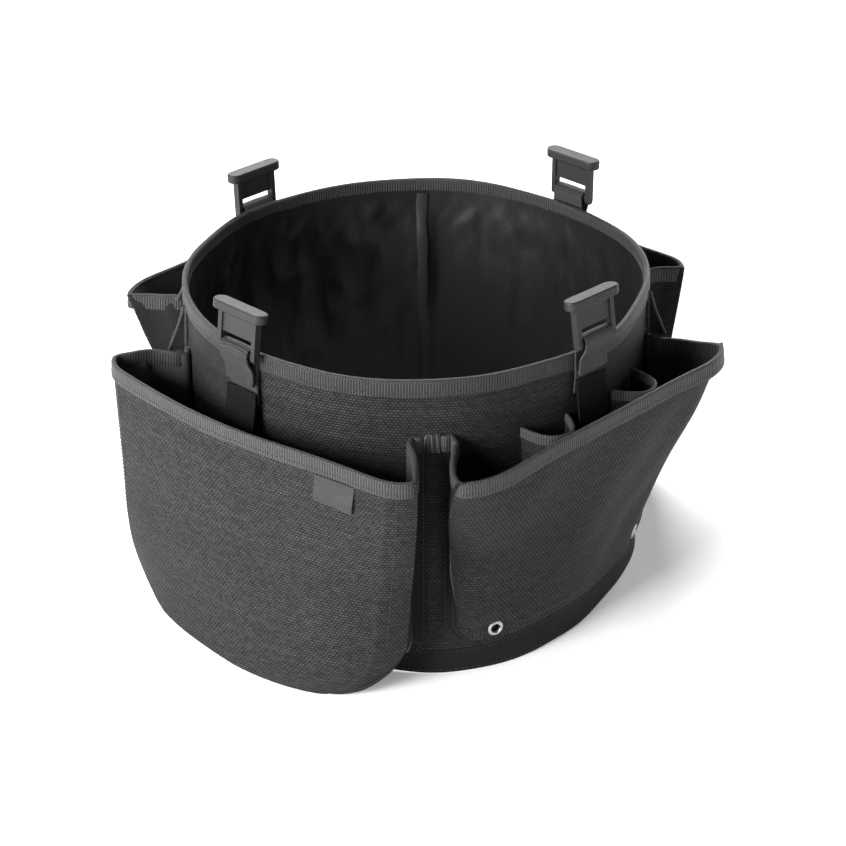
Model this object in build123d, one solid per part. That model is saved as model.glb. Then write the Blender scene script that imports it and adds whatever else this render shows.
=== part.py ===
from build123d import *
from math import cos, degrees, radians, sin, sqrt
import os

# Tool bucket organizer: an open fabric sleeve that slips around a five gallon bucket.
# Four big pockets hang around it and four moulded hooks on straps carry it from the rim.
# Millimetres, +Z up. The origin is on the sleeve's axis, at the level it stands on.
# Every pocket and every hook is modelled facing +X, then turned to its azimuth.

# Sleeve
BORE_R = 157.5            # inside radius, a loose fit on a bucket
LINER = 0.8               # slick inner lining
GAP = 0.2                 # between pieces that only touch
SLEEVE_R = 160.0          # outside radius of the woven wall
SLEEVE_TOP = 215.0
BAND_TOP = 19.0           # plain band at the foot
RIM_TAPE_H = 12.0         # binding tape at the top edge
TAPE = 0.9                # thickness of binding tape
SEAM_TAPE_W = 9.0         # tape over the lining's joint, at the back
SEAM_AZIMUTH = 84.5
BODY_R = SLEEVE_R + GAP   # where everything sewn to the outside begins

# Pockets
CLOTH = 1.6
POCKET_TAPE_H = 11.5
PANEL_HALF_W = 119.0      # half the width of a pocket's mouth, at its front corners
PANEL_CORNER_X = 177.0    # how far out those corners stand
BOX_TOP_X, BOX_FOOT_X = 192.0, 200.0        # middle of a box pocket's panel
BOX_FOOT_HALF_W, BOX_FOOT_CORNER_X = 106.0, 169.0
BOX_ROUND = 38.0
FLARE_TOP_X = 184.0       # middle of a flared pocket's panel
FLARE_FOOT_X = BODY_R + GAP + CLOTH
FLARE_FOOT_Z = 20.0
WIDE = 128.0              # pocket outlines run out to here before the sides cut them

# name: kind, azimuth, height of the mouth, half the angle that the pocket spans on the sleeve
POCKETS = {
    "front_left": ("box", -131.0, 175.0, 40.2),
    "front_right": ("flared", -47.5, 175.0, 40.2),
    "back_right": ("box", 54.6, 180.0, 33.8),
    "back_left": ("flared", 129.6, 178.0, 35.6),
}

# Cloth triangles that carry the pockets' outer ends up to the rim
WEB_FOOT_W, WEB_TIP_W, WEB_INSET = 12.0, 1.6, 0.4

# Tool cells inside the flared pockets
CELL_ANGLE, CELL_HALF_ANGLE = 14.5, 6.5
CELL_FOOT_Z, CELL_TOP_Z = 60.0, 172.0
CELL_FOOT_R, CELL_TOP_R = 164.3, 182.5

# Drain eyelets near the foot of the flared pockets
EYELET_ANGLE, EYELET_Z = 29.0, 31.0
EYELET_R, EYELET_HOLE_R, EYELET_BARREL_R, EYELET_RIM = 5.5, 3.2, 3.9, 0.6
EYELET_GAP = 0.3          # room for the cloth's curve under the rims

# Blank label on the front left pocket
LABEL_ANGLE, LABEL_W, LABEL_H, LABEL_T = 22.8, 29.0, 19.0, 1.0

# Hooks and straps
STRIP_W, STRIP_T = 27.0, 1.2
STRIP_X = BODY_R + TAPE + 0.3               # back of the loop strip
STRIP_FOOT_Z, STRIP_TOP_Z = 60.0, 212.0
STRAP_W, WEB_T = 26.0, 1.25
STRAP_X = STRIP_X + STRIP_T + 0.3           # back of the strap
BAR_R = 2.25                                # crossbar that the strap turns around
RING_R = BAR_R + 0.3 + WEB_T
PIVOT_X = STRAP_X + RING_R
STRAP_BACK_LEN, STRAP_TAIL_LEN = 38.0, 24.0
HEM_T, HEM_H = 0.9, 3.5
HOOK_W, HOOK_T, HOOK_LEG = 35.0, 5.3, 24.0  # plate, from the crossbar up to the head
HOOK_FOOT = 4.5
RAIL_W = 3.5
WINDOW_TOP = 9.4
RECESS, RECESS_TOP = 1.3, 22.5
HEAD_L, HEAD_W, HEAD_H, HEAD_ROUND = 46.0, 11.5, 6.5, 1.2

# name: azimuth, height of the crossbar, lean towards the sleeve's axis in degrees
HOOKS = {
    "front_left": (-136.9, 216.0, 6.5),
    "front_right": (-49.7, 225.0, 9.0),
    "back_right": (43.5, 220.5, 0.0),
    "back_left": (131.0, 211.0, -3.0),
}

os.makedirs("parts", exist_ok=True)


def save(part, name):
    part.label = name
    export_step(part, f"parts/{name}.step")


def facing(part, azimuth):
    return part.rotate(Axis.Z, azimuth)


def tube(outer, inner, low, high):
    wall = Cylinder(outer, high - low) - Cylinder(inner, high - low + 2)
    return Pos(0, 0, (low + high) / 2) * wall


def on_circle(radius, angle):
    return radius * cos(radians(angle)), radius * sin(radians(angle))


def outline_radius(middle_x, corner_x, half_w):
    """Radius of the arc through a panel's middle and its two corners."""
    bow = middle_x - corner_x
    return (half_w ** 2 + bow ** 2) / (2 * bow)


def outline_x(middle_x, radius, y):
    return middle_x - radius + sqrt(radius ** 2 - y ** 2)


def pocket_outlines(kind):
    """The arcs of a panel's face at its foot and mouth: middle x, radius, height of the foot."""
    if kind == "box":
        foot = (BOX_FOOT_X, outline_radius(BOX_FOOT_X, BOX_FOOT_CORNER_X, BOX_FOOT_HALF_W))
        mouth = (BOX_TOP_X, outline_radius(BOX_TOP_X, PANEL_CORNER_X, PANEL_HALF_W))
        return foot, mouth, 0.0
    foot = (FLARE_FOOT_X, FLARE_FOOT_X)
    mouth = (FLARE_TOP_X, outline_radius(FLARE_TOP_X, PANEL_CORNER_X, PANEL_HALF_W))
    return foot, mouth, FLARE_FOOT_Z


def outline_face(middle_x, radius, grow, z):
    edge = outline_x(middle_x, radius, WIDE) + grow
    low, mid, high = (edge, -WIDE, z), (middle_x + grow, 0, z), (edge, WIDE, z)
    sides = Polyline(high, (20, WIDE, z), (20, -WIDE, z), low)
    return make_face([ThreePointArc(low, mid, high), *sides.edges()])


def behind_panel(kind, top, grow):
    """All the space behind a pocket's panel, with the panel's face moved out by grow."""
    foot, mouth, foot_z = pocket_outlines(kind)
    faces = [outline_face(*foot, grow, foot_z), outline_face(*mouth, grow, top + TAPE)]
    return loft(faces, ruled=True)


def side_y(x, root_angle):
    """Half the width of a pocket at a distance x from the sleeve's axis."""
    root_x, root_y = on_circle(BODY_R, root_angle)
    return root_y + (PANEL_HALF_W - root_y) * (x - root_x) / (PANEL_CORNER_X - root_x)


def between_sides(kind, top, root_angle, grow):
    """All the space between a pocket's sides and above its floor, grown sideways and down."""
    near_x, far_x = 90.0, 215.0
    foot = 0.0 if kind == "box" else FLARE_FOOT_Z
    bottom = foot - grow if kind == "box" else foot
    faces = []
    for x in (near_x, far_x):
        half, height = side_y(x, root_angle) + grow, top + TAPE - bottom
        plane = Plane(origin=(x, 0, bottom + height / 2), x_dir=(0, 1, 0), z_dir=(1, 0, 0))
        outline = Rectangle(2 * half, height)
        if kind == "box":
            outline = fillet(outline.vertices().sort_by(Axis.Y)[:2], BOX_ROUND + grow)
        faces.append((plane * outline).face())
    return loft(faces, ruled=True)


def outside_sleeve(shape, radius=BODY_R):
    return shape - Cylinder(radius, 700)


def slab(low, high):
    return Pos(200, 0, (low + high) / 2) * Box(400, 400, high - low)


def panel_frame(kind, top, angle, z):
    """Plane on a panel's face at an angle about the sleeve's axis, looking straight out."""
    foot, mouth, foot_z = pocket_outlines(kind)
    rise = top + TAPE - foot_z
    share = (z - foot_z) / rise
    y = (foot[0] + (mouth[0] - foot[0]) * share) * sin(radians(angle))
    foot_x, mouth_x = outline_x(*foot, y), outline_x(*mouth, y)
    foot_bend, mouth_bend = [y / sqrt(radius ** 2 - y ** 2) for _, radius in (foot, mouth)]
    bend = foot_bend + (mouth_bend - foot_bend) * share
    x = foot_x + (mouth_x - foot_x) * share
    return Plane(origin=(x, y, z), x_dir=(-bend, 1, 0), z_dir=(1, bend, -(mouth_x - foot_x) / rise))


def eyelet_frames(kind, top):
    return [panel_frame(kind, top, side * EYELET_ANGLE, EYELET_Z) for side in (-1, 1)]


def eyelet(frame):
    """A rolled metal ring clamped through the cloth."""
    grip = CLOTH + 2 * EYELET_GAP
    ring = Cylinder(EYELET_BARREL_R, grip)
    for face in (-1, 1):
        ring += Pos(0, 0, face * (grip + EYELET_RIM) / 2) * Cylinder(EYELET_R, EYELET_RIM)
    ring -= Cylinder(EYELET_HOLE_R, grip + 2 * EYELET_RIM + 2)
    return frame * Pos(0, 0, -CLOTH / 2) * ring


def tool_cell(side):
    """A loop of cloth sewn to the sleeve, tapering down with the pocket."""
    faces = []
    for z, out_r in ((CELL_FOOT_Z, CELL_FOOT_R), (CELL_TOP_Z, CELL_TOP_R)):
        arcs = []
        for step in (0.0, CLOTH):
            turn = degrees(step / BODY_R)
            low = on_circle(BODY_R + GAP, CELL_ANGLE - CELL_HALF_ANGLE + turn)
            mid = on_circle(out_r - step, CELL_ANGLE)
            high = on_circle(BODY_R + GAP, CELL_ANGLE + CELL_HALF_ANGLE - turn)
            arcs.append(ThreePointArc((*low, z), (*mid, z), (*high, z)))
        feet = [Line(arcs[0] @ end, arcs[1] @ end) for end in (0, 1)]
        faces.append(make_face([*arcs, *feet]))
    cell = outside_sleeve(loft(faces, ruled=True))
    return cell if side > 0 else cell.mirror(Plane.XZ)


def pocket(name):
    """Save every piece of one pocket."""
    kind, azimuth, top, root_angle = POCKETS[name]
    mouth = slab(0, top)
    outer, inner = behind_panel(kind, top, 0), behind_panel(kind, top, -CLOTH)
    sides = between_sides(kind, top, root_angle, 0)
    clear = between_sides(kind, top, root_angle, -CLOTH)

    panel = outside_sleeve((outer - inner) & sides & mouth)
    gusset = outside_sleeve((sides - clear) & inner & mouth)
    tape_zone = slab(top - POCKET_TAPE_H, top + TAPE)
    over, under = behind_panel(kind, top, TAPE), behind_panel(kind, top, -CLOTH - TAPE)
    beside = between_sides(kind, top, root_angle, TAPE)
    panel_tape = (over - under) & beside
    side_tape = (beside - between_sides(kind, top, root_angle, -CLOTH - TAPE)) & under
    binding = outside_sleeve((panel_tape + side_tape) & tape_zone) - panel - gusset

    if kind == "flared":
        for frame in eyelet_frames(kind, top):
            hole = frame * Cylinder(EYELET_BARREL_R, 12)
            panel -= hole
        rings = Compound(children=[facing(eyelet(f), azimuth) for f in eyelet_frames(kind, top)])
        save(rings, f"{name}_drain_eyelets")
        for side, word in ((-1, "left"), (1, "right")):
            save(facing(tool_cell(side), azimuth), f"{name}_tool_cell_{word}")
            half = gusset & Pos(200, side * 200, 0) * Box(400, 400, 600)
            save(facing(half, azimuth), f"{name}_gusset_{word}")
    else:
        save(facing(gusset, azimuth), f"{name}_gusset")
    save(facing(panel, azimuth), f"{name}_panel")
    save(facing(binding, azimuth), f"{name}_binding")


def label():
    kind, azimuth, top, _ = POCKETS["front_left"]
    z = top - POCKET_TAPE_H - LABEL_H / 2 - GAP
    frame = panel_frame(kind, top, LABEL_ANGLE, z)
    tab = frame * Pos(0, 0, LABEL_T / 2 + 0.4) * Box(LABEL_W, LABEL_H, LABEL_T)
    return facing(tab, azimuth)


def wall_patch(azimuth, points, thickness):
    """A flat outline of (half angle, height) pairs wrapped on the sleeve's outside."""
    corners = [(on_circle(BODY_R, a)[1], z) for a, z in points]
    outline = [(-y, z) for y, z in corners] + [(y, z) for y, z in reversed(corners)]
    plane = Plane(origin=(130, 0, 0), x_dir=(0, 1, 0), z_dir=(1, 0, 0))
    prism = extrude(plane * make_face(Polyline(*outline, close=True)), 60)
    return facing(prism & tube(BODY_R + thickness, BODY_R, 0, 240), azimuth)


def strap():
    """Webbing turned around the hook's crossbar, with its tail folded down in front."""
    ring = Rot(90, 0, 0) * (Cylinder(RING_R, STRAP_W) - Cylinder(RING_R - WEB_T, STRAP_W + 2))
    back = Pos(-RING_R + WEB_T / 2, 0, -STRAP_BACK_LEN / 2) * Box(WEB_T, STRAP_W, STRAP_BACK_LEN)
    tail_top = 3 * RING_R
    slope = Polyline((RING_R, 0), (RING_R - WEB_T, 0), (-RING_R + WEB_T, -tail_top),
                     (-RING_R + 2 * WEB_T, -tail_top - 1), close=True)
    fold = extrude(Plane.XZ * make_face(slope), STRAP_W / 2, both=True)
    tail_len = STRAP_TAIL_LEN - tail_top
    tail = Box(WEB_T, STRAP_W, tail_len)
    tail = Pos(-RING_R + 1.5 * WEB_T, 0, -tail_top - tail_len / 2) * tail
    hem = Pos(-RING_R + 2 * WEB_T + HEM_T / 2, 0, -STRAP_TAIL_LEN + HEM_H / 2)
    return ring + back + fold + tail + hem * Box(HEM_T, STRAP_W, HEM_H)


def hook():
    """Moulded hook: a plate between two rails, a head across the top, a bar for the strap."""
    height = HOOK_FOOT + HOOK_LEG
    plate = Pos(0, 0, (HOOK_LEG - HOOK_FOOT) / 2) * Box(HOOK_T, HOOK_W, height)
    feet = plate.edges().filter_by(Axis.Y).sort_by(Axis.Z)[:2]
    plate = fillet(feet, HOOK_T / 2 - 0.05)
    window_w = HOOK_W - 2 * RAIL_W
    window_h = WINDOW_TOP + HOOK_FOOT + 2
    plate -= Pos(0, 0, WINDOW_TOP - window_h / 2) * Box(HOOK_T + 2, window_w, window_h)
    recess_h = RECESS_TOP - WINDOW_TOP
    for face in (-1, 1):
        pocket_box = Box(2 * RECESS, window_w, recess_h)
        plate -= Pos(face * HOOK_T / 2, 0, WINDOW_TOP + recess_h / 2) * pocket_box
    bar = Rot(90, 0, 0) * Cylinder(BAR_R, window_w + 1)
    head = extrude(Plane.XY * Rot(0, 0, 90) * SlotOverall(HEAD_L, HEAD_W), HEAD_H)
    head = fillet(head.edges().group_by(Axis.Z)[0] + head.edges().group_by(Axis.Z)[-1], HEAD_ROUND)
    return plate + bar + Pos(0, 0, HOOK_LEG) * head


def sleeve():
    wall_in, tape_foot = BORE_R + LINER + GAP, SLEEVE_TOP - RIM_TAPE_H
    rim = tube(BODY_R + TAPE, BORE_R, tape_foot, SLEEVE_TOP)
    groove = tube(BODY_R, BORE_R + LINER, tape_foot - 1, SLEEVE_TOP - TAPE - GAP)
    save(rim - groove, "rim_binding")
    save(tube(SLEEVE_R, wall_in, BAND_TOP + GAP, SLEEVE_TOP - TAPE - 2 * GAP), "sleeve_wall")
    save(tube(SLEEVE_R, BORE_R, 0, BAND_TOP), "bottom_band")

    liner = tube(BORE_R + LINER, BORE_R, BAND_TOP + GAP, tape_foot - GAP)
    joint = facing(Pos(BORE_R, 0, SLEEVE_TOP / 2) * Box(4, SEAM_TAPE_W, SLEEVE_TOP), SEAM_AZIMUTH)
    save(liner & joint, "liner_seam_tape")
    save(liner - joint, "liner")

    for word, azimuth in (("front", -89.3), ("back", 91.2)):
        strip = wall_patch(azimuth, [(1.1, 163.5), (1.1, 176)], 2 * TAPE)
        save(strip, f"{word}_junction_tape")


def corner_web(name, side):
    """Triangle of cloth that carries the outer end of a gusset up to the rim."""
    _, azimuth, top, root_angle = POCKETS[name]
    foot, tip = top + TAPE + GAP, SLEEVE_TOP - RIM_TAPE_H - GAP
    outline = [(BODY_R, foot), (BODY_R + WEB_FOOT_W, foot), (BODY_R + WEB_TIP_W, tip), (BODY_R, tip)]
    web = extrude(Plane.XZ * make_face(Polyline(*outline, close=True)), CLOTH / 2, both=True)
    return facing(outside_sleeve(web), azimuth + side * (root_angle - WEB_INSET))


sleeve()
for pocket_name in POCKETS:
    pocket(pocket_name)
save(label(), "blank_label")
save(corner_web("front_right", 1), "right_corner_web")
save(corner_web("back_right", -1), "right_back_corner_web")
save(corner_web("front_left", -1), "left_corner_web")
save(corner_web("back_left", 1), "left_back_corner_web")

strip_mid = Pos(STRIP_X + STRIP_T / 2, 0, (STRIP_FOOT_Z + STRIP_TOP_Z) / 2)
strip = strip_mid * Box(STRIP_T, STRIP_W, STRIP_TOP_Z - STRIP_FOOT_Z)
for hook_name, (azimuth, pivot_z, lean) in HOOKS.items():
    place = Pos(PIVOT_X, 0, pivot_z)
    save(facing(strip, azimuth), f"{hook_name}_loop_strip")
    save(facing(place * strap(), azimuth), f"{hook_name}_strap")
    save(facing(place * Rot(0, -lean, 0) * hook(), azimuth), f"{hook_name}_hook")
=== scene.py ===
import math

import bpy
import numpy as np
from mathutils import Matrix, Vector


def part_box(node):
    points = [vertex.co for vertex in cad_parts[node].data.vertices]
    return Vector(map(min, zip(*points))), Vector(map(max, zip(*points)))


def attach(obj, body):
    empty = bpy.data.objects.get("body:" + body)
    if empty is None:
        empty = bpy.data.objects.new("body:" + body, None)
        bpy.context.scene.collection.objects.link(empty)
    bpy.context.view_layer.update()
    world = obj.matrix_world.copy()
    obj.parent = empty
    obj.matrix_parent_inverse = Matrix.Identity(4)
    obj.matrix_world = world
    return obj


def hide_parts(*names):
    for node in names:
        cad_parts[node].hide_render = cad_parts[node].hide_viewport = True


# Tool bucket organizer: a bottomless fabric sleeve with four outside pockets, four moulded
# hooks on straps, and a slick lining. Shapes are worked out in millimetres, +Z up, with the
# origin on the sleeve's axis, and made in metres. Every pocket is shaped facing +X.

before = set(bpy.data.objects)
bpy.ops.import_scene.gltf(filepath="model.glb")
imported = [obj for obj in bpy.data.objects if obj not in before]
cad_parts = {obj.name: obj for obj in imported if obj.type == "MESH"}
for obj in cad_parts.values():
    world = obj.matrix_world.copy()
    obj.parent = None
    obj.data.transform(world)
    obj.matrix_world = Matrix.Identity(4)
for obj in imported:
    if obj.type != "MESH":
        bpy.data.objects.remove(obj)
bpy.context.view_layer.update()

MM = 0.001
SEED = 7

# Sleeve, as in the CAD
BORE_R, BODY_R = 157.5, 160.2
SLEEVE_TOP, BAND_TOP, RIM_TAPE_H = 215.0, 19.0, 12.0
WALL_T, LINER_T, TAPE_T, CLOTH_T, BAND_T = 1.5, 0.6, 0.8, 1.4, 2.2
SEAM_AZIMUTH = 84.5

# Pockets, as in the CAD
TAPE_H = 11.5
CORNER_X, HALF_W = 177.0, 119.0
OUTLINES = {                # foot and mouth of a panel: middle x, corner x, half width; foot height
    "box": ((200.0, 169.0, 106.0), (192.0, CORNER_X, HALF_W), 0.0),
    "flared": ((162.0, 162.0 - 38.1, 104.4), (184.0, CORNER_X, HALF_W), 20.0),
}
BOX_ROUND = 46.0
POCKETS = {                 # kind, azimuth, height of the mouth, half the angle it spans
    "front_left": ("box", -131.0, 175.0, 40.2),
    "front_right": ("flared", -47.5, 175.0, 40.2),
    "back_right": ("box", 54.6, 180.0, 33.8),
    "back_left": ("flared", 129.6, 178.0, 35.6),
}
HANG = {                    # how the cloth hangs off its cut: middle (y, z), reach, move
    "front_left": [((-119, 175), (60, 90), (2.0, -7.0, 5.0)), ((119, 175), (40, 90), (0.0, 11.0, -6.0)),
                   ((70, 0), (70, 70), (9.0, 0.0, 0.0)), ((-112, 95), (35, 60), (2.0, -5.0, 0.0)),
                   ((-106, 45), (35, 42), (2.0, -7.0, 0.0))],
    "front_right": [((-119, 175), (40, 90), (-2.0, -11.0, -10.0)), ((95, 115), (45, 55), (7.0, 4.0, 0.0)),
                    ((119, 175), (30, 60), (6.0, 5.0, 0.0))],
    "back_right": [((0, 180), (70, 60), (4.0, 0.0, 0.0)), ((-119, 180), (30, 60), (3.0, -3.0, 0.0))],
    "back_left": [((0, 178), (70, 60), (4.0, 0.0, 0.0)), ((100, 110), (40, 50), (5.0, 4.0, 0.0)),
                  ((119, 178), (30, 60), (4.0, 3.0, 0.0))],
}
CELL_ANGLE, CELL_HALF_ANGLE, CELL_T = 14.5, 6.5, 1.2
CELL_FOOT_Z, CELL_TOP_Z, CELL_FOOT_R, CELL_TOP_R = 60.0, 172.0, 164.3, 182.5

# Seam flanges, sewn flat to the sleeve: width at the sides and foot, foot height, corner radius
FLANGES = {"box": (12.5, 2.5, 9.0, 26.0), "flared": (8.5, 4.0, 20.5, 24.0)}
SIDE_ROLLS = {"box": (9.0, 18.0), "flared": (13.0, 36.0)}   # how far a panel's sides curl back, over what
FOOT_ROLL, FOOT_ROLL_W = 2.4, 8.0
WELT, WELT_IN, WELT_W = 0.55, 15.0, 1.1  # the seam that stands up near a box pocket's sides
COUNTS = {"box": (44, 14, 70), "flared": (60, 16, 70)}     # stations down a side, round a corner, along
EYELET_BORE, EYELET_SINK = 4.6, 0.8    # hole in the cloth, and how far an eyelet pulls it in
EYELET_RING = [(3.3, -1.1), (3.25, 0.9), (3.6, 1.35), (4.2, 1.5), (4.9, 1.35), (5.5, 0.75), (5.3, 0.6),
               (4.1, 0.75), (3.9, 0.6), (3.9, -0.6), (4.1, -0.75), (5.4, -0.7), (5.3, -1.2),
               (3.9, -1.4), (3.3, -1.1)]                   # radius, height

# Stitches: pitch, length, thread radius; and one stitch's own line: along, out, thickness
BAND_GAUGE, RIM_GAUGE = (3.6, 2.4, 0.25), (4.2, 2.9, 0.3)
TAPE_GAUGE, SEAM_GAUGE = (3.4, 2.3, 0.26), (3.0, 2.1, 0.25)
STITCH = np.array([(-1.0, -0.45, 0.5), (-0.8, -0.1, 0.9), (-0.35, 0.12, 1.0), (0.35, 0.12, 1.0),
                   (0.8, -0.1, 0.9), (1.0, -0.45, 0.5)])
STITCH_SIDES = 6

# Hooks, as in the CAD: azimuth, height of the crossbar
HOOKS = {
    "front_left": (-136.9, 216.0),
    "front_right": (-49.7, 225.0),
    "back_right": (43.5, 220.5),
    "back_left": (131.0, 211.0),
}
STRIP_X, STRIP_T, STRIP_W, STRIP_FOOT_Z = 161.4, 1.2, 27.0, 60.0
STRIP_END = -28.8            # the strip's free end, below the crossbar, clear of the webbing's hem
STRAP_W, WEB_T, BAR_R = 26.0, 1.25, 2.25
PIVOT_X = 166.7

# How the empty sleeve stands: azimuth and shift of its wall, at the rim and at the foot
RIM_SHIFT = [(-180, -0.5), (-165, -1.5), (-145, 0), (-128, 0), (-110, 1.5), (-80, 1.5), (-65, -2),
             (-57, 0), (-42, 0), (-22, -5), (0, 1), (20, 2.5), (34, -0.8), (53, -0.8), (65, 3),
             (80, 3.5), (100, 0.5), (122, -0.8), (142, -0.8), (152, -4), (168, -1)]
FOOT_SHIFT = [(-180, 0), (-130, 0), (-112, 4), (-99, 12), (-90, 16), (-80, 15), (-69, 9),
              (-56, 3), (-47, -2), (-36, -7), (-24, -6), (-8, -1), (10, 0), (90, 2), (110, 0)]
FOOT_SHIFT_TOP = 150.0      # height where the foot's shift has died out
SHIFT_REACH = (163.0, 180.0)  # radii between which a pocket stops following the wall

# Studio, in metres: lights as place, size, power; floor glow as radii from, to and strength from, to
LIGHTS = {
    "key": ((-2.4, -1.95, 1.15), 1.4, 240),
    "key_side": ((-2.6, -0.9, 1.6), 1.4, 30),
    "back": ((-0.2, 2.3, 2.1), 1.4, 110),
    "back_right": ((1.6, 2.3, 0.9), 1.2, 30),
    "fill": ((2.6, -0.6, 1.4), 1.4, 4),
}
FLOOR_HALF, FLOOR_GLOW = 6, (0.5, 1.6, 0.22, 1.0)
CAMERA_AZIMUTH, CAMERA_ELEVATION, CAMERA_DISTANCE, CAMERA_AIM_Z = -3.45, 28.33, 1.8, 0.1073
LENS, SENSOR, SHIFT = 108.26, 36.0, (0.0084, -0.0170)


# ------------------------------------------------------------------ numbers and curves

def smooth(t):
    t = np.clip(t, 0.0, 1.0)
    return t * t * (3 - 2 * t)


def around_curve(points, azimuth):
    """A smooth closed curve through (azimuth, value) points, read at any azimuth."""
    angles = np.arange(-180, 180)
    where, value = np.array(points, float).T
    line = np.interp(angles, where, value, period=360)
    bell = np.exp(-0.5 * (np.arange(-20, 21) / 6.0) ** 2)
    bell /= bell.sum()
    soft = np.convolve(np.concatenate([line[-20:], line, line[:20]]), bell, "valid")
    return np.interp(azimuth, angles, soft, period=360)


def settle(points):
    """Moves what is sewn to the sleeve the way the empty sleeve stands."""
    x, y, z = np.moveaxis(points, -1, 0)
    radius, azimuth = np.hypot(x, y), np.degrees(np.arctan2(y, x))
    follow = 1 - smooth((radius - SHIFT_REACH[0]) / (SHIFT_REACH[1] - SHIFT_REACH[0]))
    rim = around_curve(RIM_SHIFT, azimuth) * smooth(z / SLEEVE_TOP)
    foot = around_curve(FOOT_SHIFT, azimuth) * (1 - smooth(z / FOOT_SHIFT_TOP))
    grow = 1 + (rim + foot) * follow / radius
    return np.stack([x * grow, y * grow, z], -1)


def turned(points, azimuth):
    c, s = math.cos(math.radians(azimuth)), math.sin(math.radians(azimuth))
    x, y, z = np.moveaxis(points, -1, 0)
    return np.stack([x * c - y * s, x * s + y * c, z], -1)


def ripples(u, v, seed, count=7, longest=80.0, shortest=18.0):
    """Gentle uneven folds of about unit height over a cloth's own coordinates in mm."""
    rng = np.random.default_rng(seed)
    total = np.zeros(np.broadcast(u, v).shape)
    for _ in range(count):
        turn, phase = rng.uniform(0, math.tau, 2)
        wave = math.tau / rng.uniform(shortest, longest)
        total += np.sin(wave * (u * math.cos(turn) + v * math.sin(turn)) + phase)
    return total / math.sqrt(count)


def unit(vectors):
    return vectors / np.linalg.norm(vectors, axis=-1, keepdims=True)


def soften(line, window):
    """A running average along the first axis that keeps both ends where they are."""
    pad = window // 2
    first, last = line[:1], line[-1:]
    wide = np.concatenate([2 * first - line[pad:0:-1], line, 2 * last - line[-2:-pad - 2:-1]])
    sums = np.cumsum(np.concatenate([np.zeros_like(first), wide]), 0)
    return (sums[window:] - sums[:-window]) / window


def lengths(points, axis):
    """Distance along the cloth from its middle row, for weave that keeps its size."""
    step = np.linalg.norm(np.diff(points, axis=axis), axis=-1)
    run = np.concatenate([np.zeros_like(np.take(step, [0], axis)), np.cumsum(step, axis)], axis)
    return run - np.take(run, [run.shape[axis] // 2], axis)


def run_along(line):
    """Distance along a line from its start."""
    return np.concatenate([[0], np.cumsum(np.linalg.norm(np.diff(line, axis=0), axis=1))])


def resample(line, spacing):
    run = run_along(line)
    stations = np.linspace(0, run[-1], max(3, int(round(run[-1] / spacing)) + 1))
    return np.stack([np.interp(stations, run, line[:, k]) for k in range(line.shape[1])], 1)


# ------------------------------------------------------------------ meshes

def normals(points, around=False):
    if around:
        along = np.roll(points, -1, 0) - np.roll(points, 1, 0)
    else:
        along = np.gradient(points, axis=0)
    normal = np.cross(along, np.gradient(points, axis=1))
    return normal / np.maximum(np.linalg.norm(normal, axis=-1, keepdims=True), 1e-9)


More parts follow.
